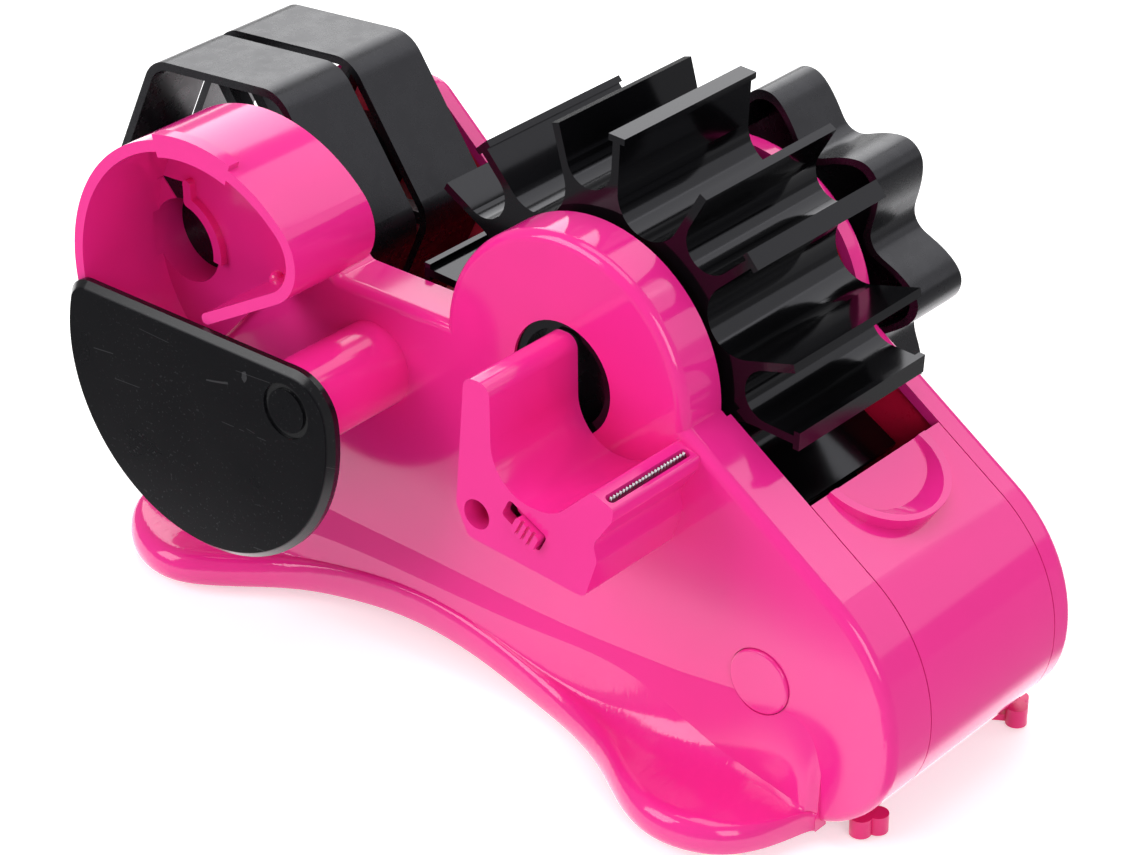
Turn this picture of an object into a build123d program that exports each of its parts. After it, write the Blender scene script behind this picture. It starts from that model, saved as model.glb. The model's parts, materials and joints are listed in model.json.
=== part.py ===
from build123d import *
import math
import os

# Multi-roll tape dispenser. Millimetres, +Z up. +X points to the front, where tape is taken off,
# and -Y to the side that carries the cup, the tube and the small cutter. The sizes below are laid
# out from a point on the rest plane under the drum axis, midway between the inner faces of the
# casings. The finished pieces are moved so that the origin is under the middle of the whole part.

# ---- Main layout ----
origin_x = -30.13            # middle of the whole part, in the layout
origin_y = -7.6
foot_height = 3.0            # rest plane to the underside of the body
drum_z = 85.0                # height of the drum axis, at x = 0
hub_x = -108.5               # axis of the roll hub
hub_z = 82.2
channel_half = 24.0          # middle plane to the inner face of each casing
near_depth = 12.0            # thickness of the near casing
far_depth = 5.5              # thickness of the far casing
wall = 2.5                   # moulded wall of casings and hubs
gap = 0.3                    # clearance between pieces that move or lift off
running = 0.06               # radial clearance of a shaft in its bore
seat = 0.02                  # clearance of pieces pressed or screwed together

# ---- Side outline of the body ----
boss_radius = 32.5           # round boss about the drum axis
slope_angle = 33.8           # fall of the front slope, degrees
slope_drop = 0.8             # start of the slope, below the drum axis
front_x = 87.0
rear_x = -122.0
front_flat = 1.0             # straight height of the front, between shoulder and toe
toe_radius = 25.0            # front into the underside
heel_radius = 6.0
ledge_z = 87.0               # straight ledge between the arm and the boss
ledge_corner = 2.0
arm_corner = 8.0
near_arm = (20.0, -64.0, 47.0)   # radius about the hub axis, rear end of the ledge, slope in degrees
far_arm = (22.6, -69.7, 41.7)
arch_height = 6.6            # rise of the underside between the feet
arch_rear = (-86.0, -50.0)   # where the arch starts to rise, and where it is level
arch_front = (2.0, -30.0)
arch_radius = 60.0
edge_radius = 2.4            # rounding of the outer edges
lip_inset = 1.3              # how far the casings' rims reach into the channel
lip_rear_x = 34.0            # rear end of the rims along the slope
floor_rear_x = -114.0        # rear end of the rims along the underside
panel_thickness = 2.0        # inner panels that close the casings

# ---- Flared feet: x, width, height of the crease on the wall, height of the fold below it ----
flare_stations = [
    (-128.4, 1.0, 13.0, 9.0),
    (-126.0, 7.0, 18.0, 11.5),
    (-121.0, 12.8, 22.0, 13.5),
    (-112.0, 17.8, 25.0, 14.5),
    (-101.0, 18.4, 26.2, 15.4),
    (-90.0, 12.2, 27.0, 17.4),
    (-78.0, 6.0, 27.3, 19.4),
    (-62.0, 3.4, 26.8, 20.5),
    (-42.0, 2.8, 26.3, 20.6),
    (-20.0, 3.2, 25.4, 20.6),
    (-4.0, 4.6, 25.0, 21.0),
    (10.0, 8.2, 25.2, 21.6),
    (22.0, 14.0, 25.8, 20.6),
    (33.0, 21.0, 26.5, 17.9),
    (44.0, 25.2, 27.9, 14.6),
    (54.0, 24.2, 28.8, 12.2),
]
flare_end_stations = [       # the same, with x from the start of the toe
    (-1.0, 19.8, 28.3, 10.8),
    (3.4, 12.6, 26.4, 9.8),
    (5.6, 5.4, 23.6, 9.0),
    (7.6, 1.4, 17.0, 8.0),
]
flare_height = 7.6           # top of the flare's rounded edge, above the underside
flare_nose = 4.2             # depth of the rounded edge
flare_lean = 3.0             # how far the panel between crease and fold leans out at most
flare_slope = 0.26           # lean of that panel, as a share of its height
far_flare_share = 0.8        # width of the far flare, as a share of the near one

# ---- Drum ----
fin_radius = 50.9
fin_half_width = 21.8
fin_thickness = 1.9
fin_pairs = 8
plain_fin_angle = 15.5       # first plain fin above +X, degrees
tee_fin_angle = -3.0         # first T-tipped fin
tee_width = 4.2
tee_thickness = 1.5
wide_floor = 31.6            # bottom of the wide channels, from the axis
narrow_floor = 37.0          # bottom of the narrow channels
drum_bore_radius = 13.04     # bore of both bosses
tube_bore = 10.0             # bore of the drum's own tube
end_recess = 8.0             # ring-shaped recess in each end of the drum
recess_outer = 28.5
recess_inner = 15.5
drum_tube_inset = 0.8        # near end of the tube, behind the boss face
web_y = 10.0                 # cross web in the tube that the wheel screw bites
web_thickness = 4.0
cap_seat_radius = 11.0       # counterbore for the drum cap
cap_seat_depth = 5.0
drum_cap_thickness = 2.0

# ---- Hand wheel ----
wheel_radius = 35.6          # mean radius of the scalloped rim
wheel_wave = 4.9             # height of the lobes over the mean
wheel_lobes = 8
wheel_phase = 3.0            # first lobe above +X, degrees
wheel_steps = 8              # curve points to each lobe
wheel_gap = 4.3              # far casing to wheel
wheel_width = 16.2
wheel_wall = 2.2
wheel_collar_radius = 14.5
spigot_length = 14.0
wheel_pocket_radius = 6.0
wheel_pocket_depth = 9.0
washer_radius = 5.4
washer_thickness = 1.0

# ---- Roll hub ----
hex_radius = 40.2            # circumradius of the six-sided rings, before rounding
hex_corner = 8.5
hex_turn = 5.0               # degrees
hex_wall = 2.0
ring_width = 19.9
ring_gap = 3.2
hub_clearance = 0.5          # near casing to near ring
hub_tube_radius = 8.0
hub_axle_radius = 5.0
spoke_width = 3.0
spoke_reach = 36.2
spoke_depth = 4.5
journal_bore = 10.0          # bearing of the roll hub in both arms
journal_inset = 7.0          # end of the near journal, behind the outer face
axle_cover = 4.0             # material beyond each end of the axle
key_corners = [(-0.9, 7.4), (-7.1, 14.0), (1.4, 14.5), (1.4, 7.4)]    # key, from the hub axis
key_depth = 6.0              # key's inner end, behind the casing's outer face
key_inset = 0.3

# ---- Cup on the near side ----
cup_x = -82.0
cup_z = 83.6
cup_radius = 38.0
cup_reach = 24.5
cup_wall = 2.6
cup_floor_thickness = 1.2
cup_start = 45.0             # angle where the round wall turns into the front corner, degrees
cup_end = 232.0              # rear end, hidden behind the plate
cup_corner = 11.3            # outer radius of the front corner
flap_turn = -60.3            # end of the front corner, degrees
flap_length = 24.4           # straight flap that closes the cup's front
tab_start = 72.0             # lip at the rim, degrees
tab_end = 106.0
tab_height = 1.3
tab_depth = 3.0
pin_radius = 1.4             # moulded pins that hold the cup on the casing
pin_head = 2.6
pin_head_height = 0.8
pins_at = [(-88.0, 95.0), (-72.0, 85.9), (-103.0, 60.0)]
key_rib_radius = 11.2        # hooked rib beside the key
key_rib_width = 2.4
key_rib_height = 1.8
key_rib_start = -8.0         # degrees
key_rib_end = 77.0
key_rib_top = (2.5, 15.0)    # upper end of the rib, from the hub axis
pip_place = (-77.6, -40.3, 84.2)     # small round pip on the flap, near its end
pip_radius = 1.7

# ---- Tube and retaining plate ----
tube_x = -53.1
tube_z = 69.9
tube_radius = 10.0
tube_wall = 2.2
tube_spigot_radius = 8.9
tube_web = 3.0
plate_x = -80.8              # centre of the plate's round side
plate_z = 65.6
plate_radius = 40.6
plate_flat_z = 80.0
plate_thickness = 3.0
plate_bevel = 1.6
plate_corner_front = 11.0
plate_corner_rear = 6.0
mark_radius = 6.5            # shallow ring over the plate's pivot
mark_width = 1.4
mark_depth = 0.5
stub_radius = 6.0            # the plate's stub turns in the end of the tube
plate_washer_radius = 7.3
plate_washer_thickness = 1.2
plate_screw_cover = 1.0      # plate left over the screw's tip

# ---- Side cutter: heights here are from the drum axis ----
cutter_reach = 27.5
cutter_wall = 2.5
cutter_corners = [           # x, height, rounding
    (-2.5, 11.4, 2.6),
    (4.3, 11.4, 3.0),
    (4.6, -12.6, 11.0),
    (21.0, -12.6, 10.0),
    (31.0, -3.0, 0.9),
    (36.6, -5.0, 0.9),
    (36.2, -7.9, 2.0),
    (31.4, -14.8, 3.0),
    (32.4, -18.7, 3.0),
    (29.2, -28.4, 2.0),
    (-1.9, -26.0, 2.0),
    (-5.1, -19.4, 2.0),
]
access_place = (0.5, -19.9)  # screw hole at the bottom of the finger
access_radius = 3.4
access_wall = 1.0
access_floor = 4.0           # seat of the screw's head, from the near casing
inner_screw_place = (26.5, -20.3)
slot_place = (13.3, -17.6)   # latch slot
slot_length = 11.2
slot_width = 4.8
slot_corner = 1.0
slot_turn = -27.4            # degrees
latch_length = 6.6
latch_offset = 1.6           # latch at rest, from the middle of its slot
latch_corner = 0.8
latch_proud = 1.7
latch_groove = 0.7
latch_tail_length = 12.4
latch_tail_width = 2.7
latch_tail_thickness = 1.6
blade_thickness = 0.6
small_blade_x = 34.2
small_blade_length = 24.0
small_blade_depth = 5.0
small_blade_proud = 0.3
small_groove = (25.5, 2.2, 1.5)    # length, width and depth of the groove the blade stands in
small_tooth = 1.0

# ---- Front cover and drum blade ----
window_x = 54.8              # rear edge of the cover, on the slope
cover_end_angle = -47.2      # lower edge of the cover on the toe, degrees
floor_end_angle = -55.0      # front edge of the base plate on the toe
cover_thickness = 2.2
hinge_x = 80.5
hinge_z = 20.0
hinge_radius = 2.0
hinge_pin_length = 5.0
ear_thickness = 2.2
ear_radius = 4.0
pull_flat = (10.6, 13.8)     # half sizes of the pull's flat, along the slope and across
pull_brim = (14.9, 15.8)     # inner edge of the raised lip's top
pull_outer = (16.0, 16.6)
pull_height = 3.8
pull_edge = 0.35
pull_end_height = 0.9
blade_angle = -40.0          # place of the drum blade about the drum axis, degrees
blade_clearance = 0.7
drum_blade_depth = 7.0
drum_blade_length = 42.0
drum_tooth = 1.4
holder_inset = 2.0           # how far the blade stands out of its holder
holder_depth = 13.0
holder_height = 9.0
holder_screw_radius = 62.0   # drum axis to the holder's screws

# ---- Fasteners, posts, feet and cap ----
screw_radius = 1.5
screw_play = 0.1             # clearance hole around a screw
screw_head = 3.0
screw_head_height = 2.2
head_play = 0.15
cross_length = 3.4
cross_width = 0.8
cross_depth = 0.9
screw_bite = 12.0            # thread length in long posts
post_radius = 4.5
small_post_radius = 3.5
front_post = (53.3, 32.9)    # post under the round cap
rear_posts = [(-45.0, 19.0), (-106.0, 17.0)]
front_head_depth = 6.0       # seat of the front screw's head, behind the outer face
rear_head_y = -14.0          # seat of the rear screws' heads
side_cap_radius = 7.6
side_cap_thickness = 1.6
side_cap_proud = 0.7
side_cap_edge = 0.5
lug_thickness = 3.0
lug_y = 5.0
front_foot_inset = 29.0      # front of the body to the front feet
rear_foot_inset = 22.0
foot_y = 16.4
sucker_radius = 9.5
sucker_edge = 0.9
sucker_hollow = 1.2
neck_radius = 3.0
button_radius = 4.4
button_height = 2.0
tab_reach = 21.2             # centre of a foot to the middle of its pull tab
tab_turn = 31.0              # degrees from +X
tab_lobe = 2.4
tab_spacing = 3.8
tab_low = 0.9
front_tab_high = 5.2
rear_tab_high = 2.6
strap_width = 3.4
strap_thickness = 1.6

near_face = -(channel_half + near_depth)
far_face = channel_half + far_depth
near_wall = near_face + wall
far_wall = far_face - wall
near_panel = -(channel_half + panel_thickness)
far_panel = channel_half + panel_thickness
lip_half = channel_half - lip_inset
cover_half = lip_half - gap
cup_rim = near_face - cup_reach
plate_inner = cup_rim - gap
plate_outer = plate_inner - plate_thickness
cutter_face = near_face - cutter_reach
wheel_inner = far_face + wheel_gap
wheel_face = wheel_inner + wheel_width
pilot_radius = screw_radius + seat
clear_radius = screw_radius + screw_play
head_bore = screw_head + head_play
slope_tan = math.tan(math.radians(slope_angle))
foot_x_front = front_x - front_foot_inset
foot_x_rear = rear_x + rear_foot_inset
to_origin = Location((-origin_x, -origin_y, 0))
pieces = {}


# ---- Helpers ----
def across(profile, y_start, y_end):
    """Solid of a side profile (drawn in X and Z), from y_start to y_end."""
    return Plane.XZ.offset(-y_start) * extrude(profile, amount=y_start - y_end)


def rod(x, z, radius, y_start, y_end):
    """Round bar along Y."""
    return across(Pos(x, z) * Circle(radius), y_start, y_end)


def pipe(x, z, outer, inner, y_start, y_end):
    """Round tube along Y."""
    return across(Pos(x, z) * (Circle(outer) - Circle(inner)), y_start, y_end)


def polar(radius, degrees, x=0.0, z=0.0):
    """Point at an angle above +X about (x, z)."""
    turn = math.radians(degrees)
    return x + radius * math.cos(turn), z + radius * math.sin(turn)


def polygon(*points):
    """Flat face with straight sides."""
    return make_face(Polyline(*points, close=True))


def outline(corners):
    """Closed face through corners (x, z, radius), each rounded by its own radius."""
    ends = []
    edges = []
    for i, (x, z, radius) in enumerate(corners):
        here = Vector(x, z)
        if radius == 0:
            ends.append((here, here))
            continue
        back = (Vector(*corners[i - 1][:2]) - here).normalized()
        ahead = (Vector(*corners[(i + 1) % len(corners)][:2]) - here).normalized()
        half = math.acos(back.dot(ahead)) / 2
        reach = radius / math.tan(half)
        middle = here + (back + ahead).normalized() * (radius / math.sin(half) - radius)
        ends.append((here + back * reach, here + ahead * reach))
        edges.append(ThreePointArc(ends[-1][0], middle, ends[-1][1]))
    for i, (_, leaving) in enumerate(ends):
        edges.append(Line(leaving, ends[(i + 1) % len(ends)][0]))
    return make_face(edges)


def inside(profile, depth):
    """The same outline, moved inwards."""
    return offset(profile, amount=-depth, kind=Kind.INTERSECTION)


def bar(start, end, width):
    """Round-ended bar from one point to another."""
    length = math.dist(start, end)
    turn = math.degrees(math.atan2(end[1] - start[1], end[0] - start[0]))
    middle = Pos((start[0] + end[0]) / 2, (start[1] + end[1]) / 2)
    return middle * Rot(0, 0, turn) * SlotCenterToCenter(length, width)


def sector(radius, start, end):
    """Pie slice between two angles, at most twice 110 degrees apart."""
    middle = (start + end) / 2
    far = radius * 3
    first = polygon((0, 0), polar(far, start), polar(far, middle))
    second = polygon((0, 0), polar(far, middle), polar(far, end))
    return Circle(radius) & (first + second)


def ring_part(outer, inner, start, end):
    """Part of a flat ring between two angles."""
    return sector(outer, start, end) - Circle(inner)


def screw(place, head_seat, tip):
    """Pan-head screw along Y with a cross recess."""
    way = math.copysign(1, tip - head_seat)
    top = head_seat - way * screw_head_height
    body = rod(*place, screw_head, top, head_seat) + rod(*place, screw_radius, head_seat, tip)
    cross = Rectangle(cross_length, cross_width) + Rectangle(cross_width, cross_length)
    return body - across(Pos(*place) * cross, top, top + way * cross_depth)


def toothed_strip(length, depth, tooth):
    """Blade blank: a strip with its toothed edge up, centred on its length."""
    count = round(length / tooth)
    pitch = length / count
    points = [(-length / 2, -depth), (-length / 2, -tooth)]
    for i in range(count):
        points.append((pitch * (i + 0.5) - length / 2, 0))
        points.append((pitch * (i + 1) - length / 2, -tooth))
    points.append((length / 2, -depth))
    return polygon(*points)


def keep(name, *shapes):
    """Move a finished piece, or a group of like pieces, to the origin and label it."""
    solids = [solid.moved(to_origin) for shape in shapes for solid in shape.solids()]
    whole = solids[0] if len(solids) == 1 else Compound(children=solids)
    whole.label = name
    pieces[name] = whole


# ---- Body outlines ----
def slope_z(x):
    """Height of the front slope at x."""
    return drum_z - slope_drop - (x - boss_radius) * slope_tan


def underside_z(x):
    """Height of the arched underside at x, before its corners are rounded."""
    rear_share = (x - arch_rear[0]) / (arch_rear[1] - arch_rear[0])
    front_share = (x - arch_front[0]) / (arch_front[1] - arch_front[0])
    return foot_height + arch_height * min(1, max(0, min(rear_share, front_share)))


def body_outline(arm_radius, ledge_rear_x, arm_rise):
    """Side outline of a casing: foot, slope, boss, ledge and the arm of the roll hub."""
    arm_top = hub_z + arm_radius
    arm_front_x = ledge_rear_x - (arm_top - ledge_z) / math.tan(math.radians(arm_rise))
    boss_inside = boss_radius / 2
    arch = [(x, underside_z(x), arch_radius) for x in (*arch_rear, *reversed(arch_front))]
    body = outline([
        (rear_x, foot_height, heel_radius),
        *arch,
        (front_x, foot_height, toe_radius),
        (front_x, slope_z(front_x), shoulder_radius),
        (boss_inside, slope_z(boss_inside), 0),
        (-boss_inside, ledge_z, 0),
        (ledge_rear_x, ledge_z, ledge_corner),
        (arm_front_x, arm_top, arm_corner),
        (hub_x - arm_radius, arm_top, arm_radius),
    ])
    return body + Pos(0, drum_z) * Circle(boss_radius)


shoulder_reach = slope_z(front_x) - foot_height - toe_radius - front_flat
shoulder_radius = shoulder_reach / math.tan(math.radians(90 - slope_angle) / 2)
near_outline = body_outline(*near_arm)
far_outline = body_outline(*far_arm)
toe_centre = (front_x - toe_radius, foot_height + toe_radius)
skin = near_outline - inside(near_outline, cover_thickness)


def flare(face_y, outward, share):
    """Flared foot on a casing's outer face, lofted through cross-sections."""
    sections = []
    end_stations = [(toe_centre[0] + x, *sizes) for x, *sizes in flare_end_stations]
    for x, width, crease_z, fold_z in flare_stations + end_stations:
        low = underside_z(x)
        reach = width * share
        nose = min(flare_nose, reach / 2)
        lean = min(flare_lean, (crease_z - fold_z) * flare_slope, reach * 0.45)
        top_z = low + min(flare_height, (fold_z - low) * 0.85)
        edge_y = reach - nose
        toe_y = reach - nose / 3
        run = edge_y - lean
        edges = [
            Line((0, crease_z), (lean, fold_z)),
            Bezier((lean, fold_z), (lean + run / 8, (fold_z + 2 * top_z) / 3),
                   (lean + run / 3, top_z), (edge_y, top_z)),
            Bezier((edge_y, top_z), (reach + nose / 3, top_z), (reach + nose / 9, low), (toe_y, low)),
            Line((toe_y, low), (-wall, low)),
            Line((-wall, low), (-wall, crease_z)),
            Line((-wall, crease_z), (0, crease_z)),
        ]
        plane = Plane(origin=(x, face_y, 0), x_dir=(0, outward, 0), z_dir=(outward, 0, 0))
        sections.append(plane * make_face(edges))
    return loft(sections)


# ---- Casings ----
def casing(profile, face_y, inner_y, share):
    """Open-backed side shell with its collars, rims and flared foot."""
    outward = math.copysign(1, face_y)
    wall_y = face_y - outward * wall
    lip_y = inner_y - outward * lip_inset
    panel_y = inner_y + outward * panel_thickness
    shell = across(profile, face_y, inner_y)
    face = shell.faces().sort_by(Axis.Y)[0 if outward < 0 else -1]
    shell = fillet(face.outer_wire().edges(), edge_radius)
    slope_span = polygon((lip_rear_x, drum_z), (front_x + wall, drum_z), (front_x + wall, 0),
                         (lip_rear_x, 0))
    floor_top = foot_height + arch_height + wall
    floor_span = polygon((floor_rear_x, 0), (front_x, 0), (front_x, floor_top), (floor_rear_x, floor_top))
    rim = (profile - inside(profile, wall)) & (slope_span + floor_span)
    shell += across(rim, inner_y, lip_y)
    shell -= across(inside(profile, wall), wall_y, lip_y)
    shell += flare(face_y, outward, share)
    shell += rod(0, drum_z, drum_bore_radius + wall, wall_y, panel_y)
    shell -= rod(0, drum_z, drum_bore_radius, face_y, panel_y)
    shell += rod(hub_x, hub_z, journal_bore + wall, wall_y, panel_y)
    shell += rod(hinge_x, hinge_z, hinge_radius + wall, wall_y, lip_y)
    pin_end = lip_y + outward * (hinge_pin_length + gap)
    shell -= rod(hinge_x, hinge_z, hinge_radius + running, lip_y, pin_end)
    return shell


def panel(profile, inner_y, panel_y):
    """Flat inner panel that closes a casing's back."""
    plate = across(inside(profile, wall + seat), inner_y, panel_y)
    plate -= rod(0, drum_z, drum_bore_radius, inner_y, panel_y)
    plate -= rod(hub_x, hub_z, journal_bore, inner_y, panel_y)
    plate -= rod(hinge_x, hinge_z, hinge_radius + wall + seat, inner_y, panel_y)
    return plate


near_casing = casing(near_outline, near_face, -channel_half, 1.0)
far_casing = casing(far_outline, far_face, channel_half, far_flare_share)
near_inner_panel = panel(near_outline, -channel_half, near_panel)
far_inner_panel = panel(far_outline, channel_half, far_panel)

# Near arm: bearing bore and the pocket of the key above it
key_face = Pos(hub_x, hub_z) * polygon(*key_corners)
key_bore = Pos(hub_x, hub_z) * Circle(journal_bore)
key_end = near_face + key_depth
near_casing += across(offset(key_face, amount=wall, kind=Kind.INTERSECTION), near_wall, near_panel)
near_casing -= across(key_face, near_face, key_end)
near_casing -= across(key_bore, near_face, near_panel)
far_casing -= rod(hub_x, hub_z, journal_bore, far_wall, far_panel)

# Posts that join the casings: the front screw enters from the near side, the others from the far
for place in [front_post] + rear_posts:
    near_casing += rod(*place, post_radius, near_wall, near_panel)
    far_casing += rod(*place, post_radius, -channel_half, far_wall)
    near_inner_panel -= rod(*place, clear_radius, near_panel, -channel_half)
    far_inner_panel -= rod(*place, post_radius + seat, channel_half, far_panel)
front_head_y = near_face + front_head_depth
front_tip_y = screw_bite - channel_half
cap_floor = near_face + side_cap_thickness
near_casing -= rod(*front_post, side_cap_radius, cutter_face, cap_floor)
near_casing += pipe(*front_post, post_radius, head_bore, cap_floor, near_panel)
near_casing -= rod(*front_post, head_bore, cap_floor, front_head_y)
near_casing -= rod(*front_post, clear_radius, front_head_y, near_panel)
far_casing -= rod(*front_post, pilot_radius, -channel_half, front_tip_y + gap)
rear_tip_y = near_wall + gap
for place in rear_posts:
    far_casing -= rod(*place, head_bore, rear_head_y, far_face)
    far_casing -= rod(*place, clear_radius, -channel_half, rear_head_y)
    near_casing -= rod(*place, pilot_radius, rear_tip_y, near_panel)
keep("casing_screws", screw(front_post, front_head_y, front_tip_y),
     *[screw(place, rear_head_y, rear_tip_y) for place in rear_posts])
side_cap = rod(*front_post, side_cap_radius - head_play, near_face - side_cap_proud, cap_floor)
keep("near_side_cap", fillet(side_cap.faces().sort_by(Axis.Y)[0].edges(), side_cap_edge))

# ---- Base plate ----
floor_z = foot_height + cover_thickness
toe_far = polar(toe_radius * 2, floor_end_angle, *toe_centre)
floor_region = polygon((floor_rear_x, -toe_radius), (toe_far[0], -toe_radius), toe_far, toe_centre,
                       (floor_rear_x, toe_centre[1]))
base_plate = across(skin & floor_region, -lip_half, lip_half)
for x, z in rear_posts:
    lug = (bar((x, foot_height), (x, z), (post_radius + wall) * 2) & near_outline)
    for y in (-lug_y, lug_y):
        base_plate += across(lug, y - lug_thickness / 2, y + lug_thickness / 2)
    base_plate -= rod(x, z, post_radius + screw_play, -lip_half, lip_half)

# ---- Cup ----
cup_inner = cup_radius - cup_wall
cup_floor = near_face - cup_floor_thickness
corner_at = polar(cup_radius - cup_corner, cup_start)
flap_start = polar(cup_corner - cup_wall / 2, flap_turn, *corner_at)
flap_end = polar(flap_length, flap_turn - 90, *flap_start)
cup_ring = ring_part(cup_radius, cup_inner, cup_start, cup_end)
cup_ring += Pos(*corner_at) * ring_part(cup_corner, cup_corner - cup_wall, flap_turn, cup_start)
flap = bar(flap_start, flap_end, cup_wall)
cup_ring += flap
floor_face = sector(cup_radius, cup_start, cup_end)
floor_face += Pos(*corner_at) * sector(cup_corner, flap_turn, cup_start)
floor_face += flap + polygon((0, 0), polar(cup_radius, cup_end), flap_end, flap_start, corner_at)
rib_arc = ring_part(key_rib_radius + key_rib_width / 2, key_rib_radius - key_rib_width / 2,
                    key_rib_start, key_rib_end)
rib_face = rib_arc + bar(polar(key_rib_radius, key_rib_end), key_rib_top, key_rib_width)
tab_face = ring_part(cup_radius + tab_height, cup_inner - tab_height, tab_start, tab_end)
cup_place = Pos(cup_x, cup_z)
side_cup = across(cup_place * cup_ring, cup_rim, cup_floor)
side_cup += across(cup_place * floor_face, cup_floor, near_face)
side_cup += across(Pos(hub_x, hub_z) * rib_face, cup_floor - key_rib_height, cup_floor)
side_cup += across(cup_place * tab_face, cup_rim, cup_rim + tab_depth)
side_cup += Pos(*pip_place) * Sphere(pip_radius)
side_cup -= across(key_face + key_bore, cup_floor - key_rib_height, near_face)
for place in pins_at:
    side_cup += rod(*place, pin_radius, near_face, near_wall)
    side_cup += rod(*place, pin_head, near_wall, near_wall + pin_head_height)
    near_casing -= rod(*place, pin_radius + seat, near_face, near_wall)
keep("hub_key", across(inside(key_face, seat) - key_bore, cup_floor + key_inset, key_end))

# ---- Tube and retaining plate ----
web_inner = cup_rim + tube_web
side_tube = pipe(tube_x, tube_z, tube_radius, tube_radius - tube_wall, cup_rim, near_face)
side_tube += pipe(tube_x, tube_z, tube_spigot_radius, tube_radius - tube_wall, near_face, near_wall)
side_tube += pipe(tube_x, tube_z, tube_radius, stub_radius, cup_rim, web_inner)
near_casing -= rod(tube_x, tube_z, tube_spigot_radius + seat, near_face, near_wall)
plate_face = Pos(plate_x, plate_z) * Circle(plate_radius)
plate_face -= polygon((plate_x - plate_radius, plate_flat_z), (plate_x + plate_radius, plate_flat_z),
                      (plate_x + plate_radius, plate_flat_z + plate_radius),
                      (plate_x - plate_radius, plate_flat_z + plate_radius))
flat_ends = plate_face.vertices().sort_by(Axis.X)
plate_face = fillet(flat_ends[-1], plate_corner_front)
plate_face = fillet(plate_face.vertices().sort_by(Axis.X)[0], plate_corner_rear)
retaining_plate = across(plate_face, plate_outer, plate_inner)
outer_edges = retaining_plate.faces().sort_by(Axis.Y)[0].outer_wire().edges()
retaining_plate = chamfer(outer_edges, plate_bevel)
stub_end = web_inner + gap
retaining_plate += rod(tube_x, tube_z, stub_radius - running, plate_inner, stub_end)
retaining_plate -= pipe(tube_x, tube_z, mark_radius, mark_radius - mark_width, plate_outer,
                        plate_outer + mark_depth)
plate_tip_y = plate_outer + plate_screw_cover
retaining_plate -= rod(tube_x, tube_z, pilot_radius, plate_tip_y, stub_end)
washer_end = stub_end + plate_washer_thickness
keep("plate_washer", pipe(tube_x, tube_z, plate_washer_radius, clear_radius, stub_end, washer_end))
keep("plate_screw", screw((tube_x, tube_z), washer_end, plate_tip_y))

# ---- Side cutter ----
cutter_face_outline = Pos(0, drum_z) * outline(cutter_corners)
cutter_body = across(cutter_face_outline, cutter_face, near_face)
cutter_hollow = across(inside(cutter_face_outline, cutter_wall), cutter_face + cutter_wall, near_face)
cutter_body -= cutter_hollow
access = (access_place[0], access_place[1] + drum_z)
inner_screw = (inner_screw_place[0], inner_screw_place[1] + drum_z)
access_seat = near_face - access_floor
cutter_body += rod(*access, access_radius + access_wall, cutter_face + cutter_wall, near_face)
cutter_body -= rod(*access, access_radius, cutter_face, access_seat)
cutter_body -= rod(*access, clear_radius, access_seat, near_face)
cutter_body += rod(*inner_screw, small_post_radius, cutter_face + cutter_wall, near_face)
inner_tip_y = near_face - screw_bite
cutter_body -= rod(*inner_screw, pilot_radius, inner_tip_y - gap, near_face)
near_casing += rod(*access, small_post_radius, near_wall, near_panel)
near_casing -= rod(*access, pilot_radius, near_face, near_panel)
near_casing -= rod(*inner_screw, clear_radius, near_face, near_wall)
keep("cutter_screws", screw(access, access_seat, near_panel), screw(inner_screw, near_wall, inner_tip_y))

slot_at = Pos(slot_place[0], slot_place[1] + drum_z) * Rot(0, 0, slot_turn)
latch_slot = slot_at * RectangleRounded(slot_length, slot_width, slot_corner)
cutter_body -= across(latch_slot, cutter_face, cutter_face + cutter_wall)
tail_y = cutter_face + cutter_wall + gap
latch_at = slot_at * Pos(latch_offset, 0)
latch_block = latch_at * RectangleRounded(latch_length, slot_width - 2 * gap, latch_corner)
neck_y = cutter_face + cutter_wall - gap
cutter_latch = across(latch_block, cutter_face - latch_proud, neck_y)
cutter_latch += across(latch_at * Rectangle(latch_length, latch_tail_width), neck_y, tail_y)
cutter_latch += across(latch_at * SlotOverall(latch_tail_length, latch_tail_width), tail_y,
                       tail_y + latch_tail_thickness)
for i in (-1, 0, 1):
    groove = latch_at * Pos(i * latch_length / 4, 0) * Rectangle(latch_groove, slot_width)
    cutter_latch -= across(groove, cutter_face - latch_proud, cutter_face - latch_proud + latch_groove)

nose_rear, nose_front = cutter_corners[4], cutter_corners[5]
nose_fall = (nose_rear[1] - nose_front[1]) / (nose_front[0] - nose_rear[0])
small_edge_z = drum_z + nose_rear[1] - (small_blade_x - nose_rear[0]) * nose_fall + small_blade_proud
cutter_mid = near_face - cutter_reach / 2
small_plane = Plane(origin=(small_blade_x, cutter_mid, small_edge_z), x_dir=(0, 1, 0), z_dir=(1, 0, 0))
small_strip = toothed_strip(small_blade_length, small_blade_depth, small_tooth)
groove_at = Pos(small_blade_x, cutter_mid, small_edge_z - small_blade_proud - small_groove[2])
cutter_body -= groove_at * Rot(0, 0, 90) * extrude(SlotOverall(*small_groove[:2]), small_groove[2] * 2)
keep("cutter_blade", small_plane * extrude(small_strip, blade_thickness / 2, both=True))
cutter_body -= Pos(small_blade_x, cutter_mid, small_edge_z - small_blade_depth / 2) * Box(
    blade_thickness + 2 * seat, small_blade_length + 2 * seat, small_blade_depth)

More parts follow.
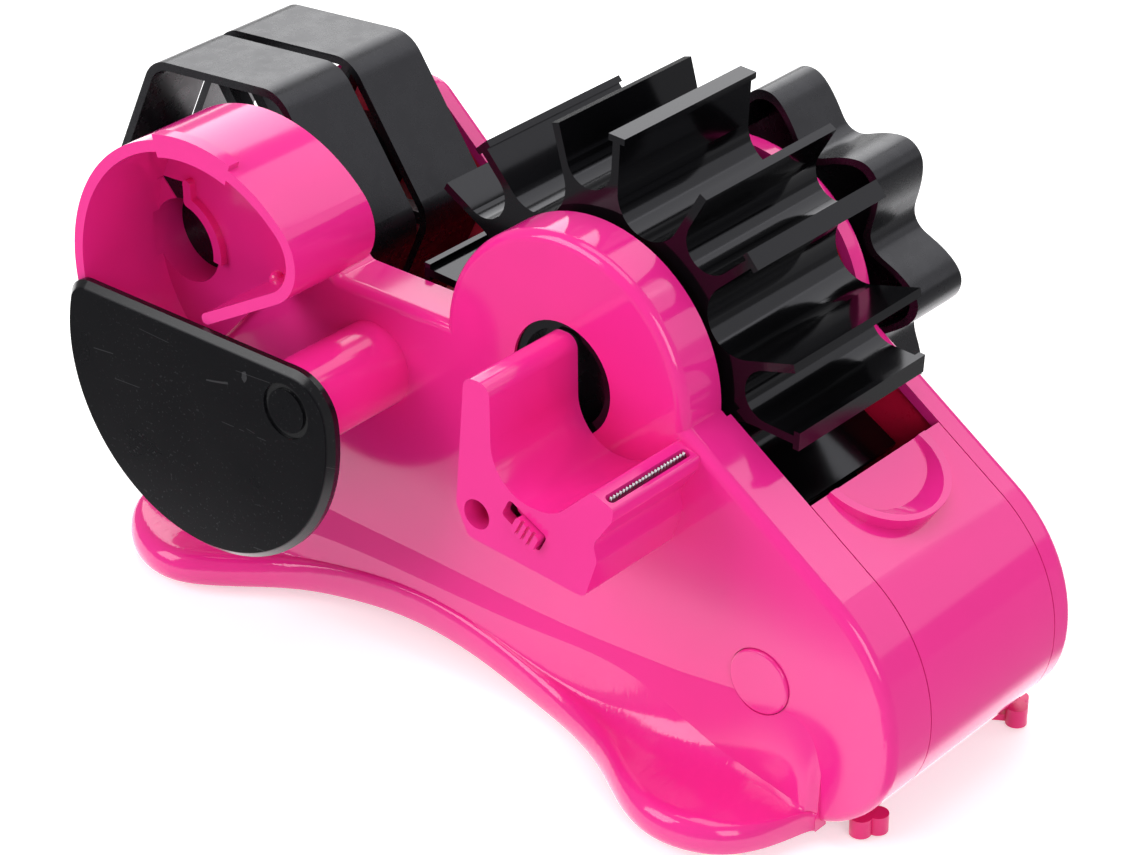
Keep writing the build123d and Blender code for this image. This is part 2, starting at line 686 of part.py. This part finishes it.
# ---- Drum ----
def channel(start, end, floor):
    """Gap between two fins, with a round bottom."""
    half = math.radians((end - start) / 2)
    middle = (start + end) / 2
    side = fin_thickness / 2
    round_at = (floor - side) / (1 - math.sin(half))
    tip = polar(side / math.sin(half), middle)
    first = polar(fin_radius * 2, start, *tip)
    last = polar(fin_radius * 2, end, *tip)
    return outline([(*tip, round_at - floor), (*first, 0), (*last, 0)])


pitch = 360 / fin_pairs
drum_face = Circle(fin_radius)
for i in range(fin_pairs):
    plain = plain_fin_angle + i * pitch
    tee = tee_fin_angle + i * pitch
    drum_face -= channel(plain - pitch, tee, wide_floor)
    drum_face -= channel(tee, plain, narrow_floor)
    tee_at = Rot(0, 0, tee) * Pos(fin_radius - tee_thickness / 2, 0)
    drum_face += tee_at * Rectangle(tee_thickness, tee_width)
drum_tube_end = near_face + drum_tube_inset
cap_seat_y = drum_tube_end + cap_seat_depth
fin_drum = across(Pos(0, drum_z) * drum_face, -fin_half_width, fin_half_width)
for end in (-fin_half_width, fin_half_width):
    fin_drum -= pipe(0, drum_z, recess_outer, recess_inner, end, end - math.copysign(end_recess, end))
fin_drum += rod(0, drum_z, drum_bore_radius - running, drum_tube_end, wheel_inner)
fin_drum -= rod(0, drum_z, tube_bore, drum_tube_end, web_y)
fin_drum -= rod(0, drum_z, tube_bore, web_y + web_thickness, wheel_inner)
fin_drum -= rod(0, drum_z, cap_seat_radius, drum_tube_end, cap_seat_y)
fin_drum -= rod(0, drum_z, pilot_radius, web_y, web_y + web_thickness)
keep("drum_cap", rod(0, drum_z, cap_seat_radius - seat, cap_seat_y - drum_cap_thickness, cap_seat_y))


# ---- Hand wheel ----
def scallop(radius):
    """Wavy rim of the hand wheel."""
    count = wheel_lobes * wheel_steps
    points = []
    for i in range(count):
        degrees = 360 * i / count
        wave = wheel_wave * math.cos(math.radians(wheel_lobes * (degrees - wheel_phase)))
        points.append(polar(radius + wave, degrees, 0, drum_z))
    return make_face(Spline(*points, periodic=True))


pocket_floor = wheel_face - wheel_pocket_depth
washer_top = pocket_floor + washer_thickness
hand_wheel = across(scallop(wheel_radius), wheel_inner, wheel_face)
hand_wheel -= across(scallop(wheel_radius - wheel_wall), wheel_inner, wheel_face - wheel_wall)
hand_wheel += rod(0, drum_z, wheel_collar_radius, wheel_inner, wheel_face)
hand_wheel += rod(0, drum_z, tube_bore - seat, wheel_inner - spigot_length, wheel_inner)
hand_wheel -= rod(0, drum_z, wheel_pocket_radius, pocket_floor, wheel_face)
hand_wheel -= rod(0, drum_z, clear_radius, wheel_inner - spigot_length, pocket_floor)
keep("wheel_washer", pipe(0, drum_z, washer_radius, clear_radius, pocket_floor, washer_top))
keep("wheel_screw", screw((0, drum_z), washer_top, web_y))

# ---- Roll hub ----
hub_corners = [(*polar(hex_radius, hex_turn + 60 * i, hub_x, hub_z), hex_corner) for i in range(6)]
hex_face = outline(hub_corners)
hex_ring = hex_face - inside(hex_face, hex_wall)
spokes = Pos(hub_x, hub_z) * Circle(hub_tube_radius)
for i in range(6):
    spokes += bar((hub_x, hub_z), polar(spoke_reach, hex_turn + 60 * i, hub_x, hub_z), spoke_width)
journal_radius = journal_bore - running
ring_start = hub_clearance - channel_half
near_ring_end = ring_start + ring_width
far_ring_start = near_ring_end + ring_gap
ring_end = far_ring_start + ring_width
hub_middle = (near_ring_end + far_ring_start) / 2
near_journal = near_face + journal_inset
far_journal = far_wall - gap
axle_start = near_journal + axle_cover
axle_end = far_journal - axle_cover
axle_bore = rod(hub_x, hub_z, hub_axle_radius + seat, axle_start, axle_end)
hub_ring_near = across(hex_ring, ring_start, near_ring_end)
hub_ring_near += across(spokes, near_ring_end - spoke_depth, near_ring_end)
hub_ring_near += rod(hub_x, hub_z, hub_tube_radius, ring_start, hub_middle)
hub_ring_near += rod(hub_x, hub_z, journal_radius, near_journal, ring_start)
hub_ring_far = across(hex_ring, far_ring_start, ring_end)
hub_ring_far += across(spokes, far_ring_start, far_ring_start + spoke_depth)
hub_ring_far += rod(hub_x, hub_z, hub_tube_radius, hub_middle, ring_end)
hub_ring_far += rod(hub_x, hub_z, journal_radius, ring_end, far_journal)
keep("hub_ring_near", hub_ring_near - axle_bore)
keep("hub_ring_far", hub_ring_far - axle_bore)
keep("hub_axle", rod(hub_x, hub_z, hub_axle_radius, axle_start, axle_end))

# ---- Front cover ----
slope_normal = (math.sin(math.radians(slope_angle)), math.cos(math.radians(slope_angle)))
window_z = slope_z(window_x)
cover_region = polygon(
    toe_centre, polar(toe_radius * 2, cover_end_angle, *toe_centre), (front_x * 2, 0),
    (front_x * 2, drum_z * 2),
    (window_x + slope_normal[0] * toe_radius, window_z + slope_normal[1] * toe_radius),
    (window_x - slope_normal[0] * toe_radius / 2, window_z - slope_normal[1] * toe_radius / 2))
front_cover = across(skin & cover_region, -cover_half, cover_half)
hinge_turn = math.degrees(math.atan2(hinge_z - toe_centre[1], hinge_x - toe_centre[0]))
ear = bar((hinge_x, hinge_z), polar(toe_radius - 1, hinge_turn, *toe_centre), ear_radius * 2) & near_outline
for way in (-1, 1):
    front_cover += across(ear, way * cover_half, way * (cover_half - ear_thickness))
    front_cover += rod(hinge_x, hinge_z, hinge_radius, way * (cover_half - ear_thickness),
                       way * (lip_half + hinge_pin_length))
pull = extrude(Ellipse(*pull_outer), pull_height)
pull -= loft([Ellipse(*pull_flat), Pos(0, 0, pull_height) * Ellipse(*pull_brim)])
pull = fillet(pull.faces().sort_by(Axis.Z)[-1].edges(), pull_edge)
pull_side = polygon((0, 0), (0, pull_end_height), (pull_outer[0], pull_height), (pull_outer[0], 0))
pull &= extrude(Plane.XZ * pull_side, pull_outer[1], both=True)
slope_plane = Plane(origin=(window_x, 0, window_z), x_dir=(slope_normal[1], 0, -slope_normal[0]),
                    z_dir=(slope_normal[0], 0, slope_normal[1]))
front_cover += slope_plane * pull
keep("front_cover", front_cover)

# ---- Drum blade and its holder ----
blade_edge = fin_radius + blade_clearance
holder_at = Pos(*polar(blade_edge + holder_inset + holder_depth / 2, blade_angle, 0, drum_z))
holder_face = holder_at * Rot(0, 0, blade_angle) * Rectangle(holder_depth, holder_height)
blade_holder = across(holder_face, -channel_half, channel_half)
slit_at = Pos(*polar(blade_edge + drum_blade_depth / 2, blade_angle, 0, drum_z)) * Rot(0, 0, blade_angle)
slit_face = slit_at * Rectangle(drum_blade_depth, blade_thickness + 2 * seat)
blade_holder -= across(slit_face, -drum_blade_length / 2 - seat, drum_blade_length / 2 + seat)
holder_screw = polar(holder_screw_radius, blade_angle, 0, drum_z)
bite_y = channel_half - screw_bite - gap
for way in (-1, 1):
    blade_holder -= rod(*holder_screw, pilot_radius, way * channel_half, way * bite_y)
near_inner_panel -= rod(*holder_screw, clear_radius, near_panel, -channel_half)
far_inner_panel -= rod(*holder_screw, clear_radius, channel_half, far_panel)
far_casing -= rod(*holder_screw, head_bore, far_wall, far_panel + screw_head_height + gap)
keep("blade_holder", blade_holder)
keep("holder_screws", screw(holder_screw, near_panel, screw_bite - channel_half),
     screw(holder_screw, far_panel, channel_half - screw_bite))
edge_x, edge_z = polar(blade_edge, blade_angle, 0, drum_z)
blade_turn = math.radians(blade_angle)
blade_plane = Plane(origin=(edge_x, 0, edge_z), x_dir=(0, 1, 0),
                    z_dir=(-math.sin(blade_turn), 0, math.cos(blade_turn)))
drum_strip = toothed_strip(drum_blade_length, drum_blade_depth, drum_tooth)
keep("drum_blade", blade_plane * extrude(drum_strip, blade_thickness / 2, both=True))

# ---- Suction feet ----
def suction_foot(x, side, turn, tab_high):
    """Rubber sucker with a neck and button above, and a pull tab on a strap."""
    profile = polygon(
        (0, sucker_hollow), (sucker_radius - sucker_edge, 0), (sucker_radius, 0),
        (sucker_radius, sucker_edge), (neck_radius + sucker_edge, foot_height),
        (neck_radius, foot_height), (neck_radius, floor_z), (button_radius, floor_z),
        (neck_radius, floor_z + button_height), (0, floor_z + button_height))
    foot = revolve(Plane.XZ * profile, Axis.Z)
    lobe = Pos(tab_reach, tab_spacing / 2) * Circle(tab_lobe)
    lobes = lobe + mirror(lobe, Plane.XZ)
    foot += Rot(0, 0, turn) * Pos(0, 0, tab_low) * extrude(lobes, tab_high - tab_low)
    strap_start = sucker_radius - sucker_edge * 2
    strap = Pos((strap_start + tab_reach) / 2, 0) * Rectangle(tab_reach - strap_start, strap_width)
    foot += Rot(0, 0, turn) * Pos(0, 0, tab_low) * extrude(strap, strap_thickness)
    return Pos(x, side * foot_y, 0) * foot


for x, rear, tab_high in ((foot_x_front, "front", front_tab_high), (foot_x_rear, "rear", rear_tab_high)):
    for side, name in ((-1, "near"), (1, "far")):
        turn = side * (tab_turn if x > 0 else 180 - tab_turn)
        keep(f"foot_{rear}_{name}", suction_foot(x, side, turn, tab_high))
        base_plate -= Pos(x, side * foot_y, foot_height) * Cylinder(neck_radius + seat, foot_height * 2)

keep("near_casing", near_casing)
keep("far_casing", far_casing)
keep("near_inner_panel", near_inner_panel)
keep("far_inner_panel", far_inner_panel)
keep("base_plate", base_plate)
keep("side_cup", side_cup)
keep("side_tube", side_tube)
keep("retaining_plate", retaining_plate)
keep("cutter_body", cutter_body)
keep("cutter_latch", cutter_latch)
keep("fin_drum", fin_drum)
keep("hand_wheel", hand_wheel)

os.makedirs("parts", exist_ok=True)
for name, piece in pieces.items():
    export_step(piece, f"parts/{name}.step")
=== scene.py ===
import json
import math

import bpy
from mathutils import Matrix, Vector


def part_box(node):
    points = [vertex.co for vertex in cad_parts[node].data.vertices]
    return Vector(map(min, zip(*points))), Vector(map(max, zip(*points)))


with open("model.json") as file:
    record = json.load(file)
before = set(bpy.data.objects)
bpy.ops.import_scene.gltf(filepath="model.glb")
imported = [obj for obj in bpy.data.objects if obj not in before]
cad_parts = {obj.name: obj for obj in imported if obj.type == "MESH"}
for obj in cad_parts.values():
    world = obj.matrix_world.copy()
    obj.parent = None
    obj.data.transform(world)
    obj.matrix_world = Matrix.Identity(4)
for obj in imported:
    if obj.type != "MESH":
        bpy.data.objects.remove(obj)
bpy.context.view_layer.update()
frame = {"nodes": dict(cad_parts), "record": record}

MM = 0.001                   # every length below is in metres, on the part's own axes

# ---- Colours and gloss ----
WHITE = (1, 1, 1, 1)
HOT_PINK = (0.84, 0.024, 0.275, 1)
# deeper red than the casing's pink: painted shade for the dark crimson inside the casing
SHADED_INNER_PINK = (0.8, 0.008, 0.06, 1)
RUBBER_PINK = (0.84, 0.02, 0.2, 1)
FIN_BLACK = (0.0025, 0.0025, 0.003, 1)
SATIN_BLACK = (0.0045, 0.0045, 0.0055, 1)
SCRATCH_GREY = (0.09, 0.09, 0.095, 1)
BLADE_GREY = (0.34, 0.34, 0.36, 1)
COOL_GLOSS = (0.9, 0.9, 1.0, 1)

# ---- Wear of the plate ----
SCRATCHES = ((0.5, 26.0), (1.9, 34.0), (2.7, 22.0))     # turn in radians, and scale of the pattern
SCRATCH_WIDTH = 0.0012       # in the pattern's own value
SCRATCH_STRETCH = (0.22, 1.0, 1.0)
POLISHED_EDGE = (0.1 * MM, 0.4 * MM)                    # depth behind the face where the gloss sets in

# ---- Studio ----
FLOOR_SIZE = 6.0
FLOOR_WHITE = (0.86, 0.86, 0.86, 1)
FLOOR_FRONT = (0.118, 0.128)     # x over which the floor that gloss sees as bright ends
FLOOR_NEAR = (-0.105, -0.082)    # y over which it starts, on the cup's side
FLOOR_GLOW = 0.5             # added for the camera
FLOOR_SHEEN = 1.15           # added for gloss, beside the part
FAR_FLOOR_SHEEN = 0.5        # all that gloss sees farther off
ROOM_LIGHT = 0.38
SOFTBOXES = (                # place, point that it faces, width and height, radiance
    ("top_softbox", (0.0, 0.0, 1.1), (0, 0, 0.05), (0.8, 0.6), 2.6),
    ("left_softbox", (-0.65, -0.95, 0.75), (0, -0.03, 0.06), (0.8, 0.8), 4.6),
    ("right_softbox", (1.0, -0.6, 0.6), (0.03, 0, 0.05), (0.5, 0.7), 4.2),
    ("back_left_softbox", (-0.61, 0.73, 0.58), (0, 0, 0.08), (0.75, 0.6), 2.8),
    ("back_softbox", (0.13, 0.8, 0.85), (0, 0, 0.06), (0.7, 0.5), 1.7),
    ("back_right_softbox", (0.72, 0.76, 0.62), (0, 0, 0.06), (0.5, 0.65), 0.9),
)
AZIMUTH = math.radians(40.085)
ELEVATION = math.radians(29.724)
DISTANCE = 751.69 * MM       # camera to the point that it faces
BOSS_FACE = 36.0 * MM        # middle of the drum to the near boss's face
AIM_RIGHT = 1.7475 * MM      # the camera's aim, from the middle of that face
AIM_DOWN = 10.113 * MM
LENS = 114.825               # for a sensor 36 wide


# ---- Shader maths ----
class Signal:
    """An output of a shader node, for use in plain expressions."""

    def __init__(self, graph, socket):
        self.graph = graph
        self.socket = socket

    def maths(self, operation, first, second):
        return self.graph.node("ShaderNodeMath", {"operation": operation}, {0: first, 1: second})

    def __add__(self, other):
        return self.maths("ADD", self, other)

    def __radd__(self, other):
        return self.maths("ADD", other, self)

    def __sub__(self, other):
        return self.maths("SUBTRACT", self, other)

    def __rsub__(self, other):
        return self.maths("SUBTRACT", other, self)

    def __mul__(self, other):
        return self.maths("MULTIPLY", self, other)

    def __rmul__(self, other):
        return self.maths("MULTIPLY", other, self)

    def __gt__(self, other):
        return self.maths("GREATER_THAN", self, other)

    def __lt__(self, other):
        return self.maths("LESS_THAN", self, other)


class Graph:
    """The nodes of a material or of the world."""

    def __init__(self, tree):
        self.tree = tree

    def node(self, kind, settings, sockets, output=0):
        """Add a node: settings are set before its sockets are filled."""
        made = self.tree.nodes.new(kind)
        for key, value in settings.items():
            setattr(made, key, value)
        for key, value in sockets.items():
            if isinstance(value, Signal):
                self.tree.links.new(value.socket, made.inputs[key])
            else:
                made.inputs[key].default_value = value
        return Signal(self, made.outputs[output])

    def beside(self, signal, output):
        """Another output of the node that a signal comes from."""
        return Signal(self, signal.socket.node.outputs[output])

    def feed(self, node, socket, value):
        """Link a signal to a node that the tree already has."""
        self.tree.links.new(value.socket, self.tree.nodes[node].inputs[socket])


class Finish(Graph):
    """A surface finish, built up on a Principled shader."""

    def __init__(self, name, colour, roughness, fixed={}):
        self.material = bpy.data.materials.new(name)
        self.material.use_nodes = True
        super().__init__(self.material.node_tree)
        self.shader = self.tree.nodes["Principled BSDF"]
        self.shader.inputs["Base Color"].default_value = colour
        self.shader.inputs["Roughness"].default_value = roughness
        for socket, value in fixed.items():
            self.shader.inputs[socket].default_value = value
        self.place = self.node("ShaderNodeTexCoord", {}, {}, "Object")

    def vary(self, socket, value):
        self.feed("Principled BSDF", socket, value)

    def axes(self):
        """The place on the part, as x, y and z."""
        x = self.node("ShaderNodeSeparateXYZ", {}, {0: self.place}, "X")
        return x, self.beside(x, "Y"), self.beside(x, "Z")

    def noise(self, scale, detail=2.0, place=None):
        return self.node("ShaderNodeTexNoise", {}, {
            "Vector": place or self.place, "Scale": scale, "Detail": detail}, "Fac")

    def spread(self, value, low, high, to_low=0.0, to_high=1.0):
        """Map a value from one span to another."""
        return self.node("ShaderNodeMapRange", {}, {0: value, 1: low, 2: high, 3: to_low, 4: to_high})

    def blend(self, share, first, second):
        """Mix two colours."""
        return self.node("ShaderNodeMix", {"data_type": "RGBA"}, {0: share, 6: first, 7: second}, 2)

    def bump(self, height, strength, distance):
        self.vary("Normal", self.node("ShaderNodeBump", {}, {
            "Height": height, "Strength": strength, "Distance": distance}, "Normal"))


def shade(colour, factor):
    """A darker or lighter tone of a colour."""
    return tuple(min(1.0, part * factor) for part in colour[:3]) + (1,)


# ---- Finishes ----
def moulded_plastic(name, colour, roughness, peel, flow, fixed={}):
    """Moulded plastic: faint flow marks in its tone, uneven gloss and a soft moulded skin."""
    finish = Finish(name, colour, roughness, fixed)
    cloud = finish.spread(finish.noise(26.0, 3.0), 0.3, 0.7)
    finish.vary("Base Color", finish.blend(cloud, shade(colour, 1 - flow), shade(colour, 1 + flow)))
    haze = finish.noise(190.0, 4.0)
    rub = finish.noise(900.0)
    finish.vary("Roughness", finish.spread(haze * 0.7 + rub * 0.3, 0.3, 0.7,
                                           roughness * 0.86, roughness * 1.18))
    finish.bump(finish.noise(620.0), peel, 0.02 * MM)
    return finish.material


def rubbed_plate():
    """Satin black plate: polished edge, hair-fine scratches and specks on its face."""
    finish = Finish("rubbed_black_plate", SATIN_BLACK, 0.32, {
        "Specular IOR Level": 0.06, "Specular Tint": COOL_GLOSS, "Coat Roughness": 0.16})
    face_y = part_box("retaining_plate")[0][1]
    start, full = POLISHED_EDGE
    edge = finish.spread(finish.axes()[1], face_y + start, face_y + full)
    finish.vary("Coat Weight", edge * 0.55)
    worn = finish.spread(finish.noise(24.0), 0.42, 0.62)
    marks = (finish.noise(1500.0, 3.0) > 0.66) * worn * 0.6
    for turn, scale in SCRATCHES:
        place = finish.node("ShaderNodeMapping", {}, {
            "Vector": finish.place, "Rotation": (0.0, turn, 0.0), "Scale": SCRATCH_STRETCH})
        offset = finish.noise(scale, 0.0, place) - 0.5
        line = (offset * offset) < SCRATCH_WIDTH ** 2
        marks = marks + line * (finish.noise(60.0 + scale, 1.0) > 0.6)
    haze = finish.noise(55.0, 5.0)
    finish.vary("Roughness", finish.spread(haze, 0.3, 0.75, 0.26, 0.36) + marks * 0.1)
    finish.vary("Base Color", finish.blend(marks * 0.35, SATIN_BLACK, SCRATCH_GREY))
    finish.bump(finish.noise(1400.0) + marks * 0.4, 0.08, 0.03 * MM)
    return finish.material


def ground_steel(name, roughness, grain):
    """Steel with fine grinding lines along one axis."""
    finish = Finish(name, BLADE_GREY, roughness, {"Metallic": 1.0})
    place = finish.node("ShaderNodeMapping", {}, {"Vector": finish.place, "Scale": grain})
    lines = finish.noise(2400.0, 3.0, place)
    finish.vary("Base Color", finish.blend(lines, shade(BLADE_GREY, 0.55), shade(BLADE_GREY, 1.2)))
    finish.vary("Roughness", finish.spread(lines, 0.3, 0.7, roughness * 0.7, roughness * 1.3))
    finish.bump(lines, 0.15, 0.02 * MM)
    return finish.material


def soft_rubber():
    """Soft satin rubber of the suction feet, a little cloudy."""
    finish = Finish("pink_rubber", RUBBER_PINK, 0.42)
    cloud = finish.noise(70.0, 3.0)
    finish.vary("Base Color", finish.blend(cloud, shade(RUBBER_PINK, 0.88), RUBBER_PINK))
    finish.vary("Roughness", finish.spread(finish.noise(300.0, 3.0), 0.3, 0.7, 0.36, 0.5))
    finish.bump(finish.noise(1100.0), 0.12, 0.03 * MM)
    return finish.material


slot_finishes = {
    "pink_gloss": moulded_plastic("hot_pink_plastic", HOT_PINK, 0.11, peel=0.03, flow=0.025),
    "black_gloss": moulded_plastic("fin_black_plastic", FIN_BLACK, 0.12, peel=0.05, flow=0.2, fixed={
        "Specular IOR Level": 0.3, "Specular Tint": COOL_GLOSS}),
    "black_satin": moulded_plastic("satin_black_plastic", SATIN_BLACK, 0.27, peel=0.1, flow=0.15, fixed={
        "Specular IOR Level": 0.4, "Specular Tint": COOL_GLOSS}),
    "pink_rubber": soft_rubber(),
    "blade_steel": ground_steel("ground_blade_steel", 0.28, (1.0, 0.05, 1.0)),
    "zinc_steel": ground_steel("zinc_screw_steel", 0.36, (1.0, 0.3, 1.0)),
}
# The inner panels take this deeper red as painted shade, for the dim crimson between the pink walls
# inside.
shaded_inner_pink = moulded_plastic("inner_pink_plastic_painted_shade", SHADED_INNER_PINK, 0.3, peel=0.05, flow=0.05)
own_finishes = {
    "retaining_plate": rubbed_plate(),
    "far_inner_panel": shaded_inner_pink,
    "near_inner_panel": shaded_inner_pink,
}
for row in frame["record"]["subparts"]:
    materials = frame["nodes"][row["node"]].data.materials
    finish = own_finishes.get(row["node"], slot_finishes[row["material_slot"]])
    if not materials:
        materials.append(finish)
    for index in range(len(materials)):
        materials[index] = finish


# ---- Floor, light and camera ----
def pale_floor():
    """Matte floor that keeps the shadow. Gloss sees it bright beside the part and dimmer farther off."""
    finish = Finish("pale_floor", FLOOR_WHITE, 0.9)
    camera_ray = finish.node("ShaderNodeLightPath", {}, {}, "Is Camera Ray")
    glossy_ray = finish.beside(camera_ray, "Is Glossy Ray")
    x, y, z = finish.axes()
    near = finish.spread(x, *FLOOR_FRONT, 1.0, 0.0) * finish.spread(y, *FLOOR_NEAR)
    glow = finish.node("ShaderNodeEmission", {}, {
        "Color": WHITE, "Strength": camera_ray * FLOOR_GLOW + glossy_ray * near * FLOOR_SHEEN})
    lit = finish.node("ShaderNodeAddShader", {}, {0: Signal(finish, finish.shader.outputs[0]), 1: glow})
    dim = finish.node("ShaderNodeEmission", {}, {"Color": WHITE, "Strength": FAR_FLOOR_SHEEN})
    seen = finish.node("ShaderNodeMixShader", {}, {0: glossy_ray * (1.0 - near), 1: lit, 2: dim})
    finish.feed("Material Output", "Surface", seen)
    return finish.material


def room():
    """White surroundings: full strength for the camera, a soft fill for everything else."""
    world = bpy.data.worlds.new("studio")
    bpy.context.scene.world = world
    world.use_nodes = True
    graph = Graph(world.node_tree)
    camera_ray = graph.node("ShaderNodeLightPath", {}, {}, "Is Camera Ray")
    graph.feed("Background", "Strength", camera_ray * (1 - ROOM_LIGHT) + ROOM_LIGHT)
    world.node_tree.nodes["Background"].inputs["Color"].default_value = WHITE


def softbox(name, place, aim, size, radiance):
    """Rectangular studio light that faces a point, as bright as asked for."""
    lamp = bpy.data.lights.new(name, "AREA")
    lamp.shape = "RECTANGLE"
    lamp.size, lamp.size_y = size
    lamp.energy = radiance * math.pi * size[0] * size[1]
    rig = bpy.data.objects.new(name, lamp)
    bpy.context.scene.collection.objects.link(rig)
    rig.location = place
    rig.rotation_euler = (Vector(aim) - Vector(place)).to_track_quat("-Z", "Y").to_euler()


def studio_camera():
    """Camera that looks down on the near side, aimed from the middle of the near boss's face."""
    right = Vector((math.cos(AZIMUTH), math.sin(AZIMUTH), 0))
    back = Vector((math.sin(AZIMUTH) * math.cos(ELEVATION), -math.cos(AZIMUTH) * math.cos(ELEVATION),
                   math.sin(ELEVATION)))
    up = back.cross(right)
    joints = frame["record"]["behaviour"]["joints"]
    drum_middle = next(Vector(joint["pos_m"]) for joint in joints if joint["name"] == "drum_spin")
    aim = drum_middle - Vector((0, BOSS_FACE, 0)) + right * AIM_RIGHT - up * AIM_DOWN
    camera = bpy.data.cameras.new("studio_camera")
    camera.lens = LENS
    camera.sensor_width = 36.0
    rig = bpy.data.objects.new("studio_camera", camera)
    bpy.context.scene.collection.objects.link(rig)
    rig.location = aim + back * DISTANCE
    rig.rotation_euler = back.to_track_quat("Z", "Y").to_euler()
    return rig


bpy.ops.object.select_all(action="DESELECT")
bpy.ops.mesh.primitive_plane_add(size=FLOOR_SIZE, location=(0, 0, 0))
floor = bpy.context.object
floor.name = "studio_floor"
floor.data.materials.append(pale_floor())
room()
for box in SOFTBOXES:
    softbox(*box)
bpy.context.scene.camera = studio_camera()
bpy.context.scene.view_settings.view_transform = "Standard"
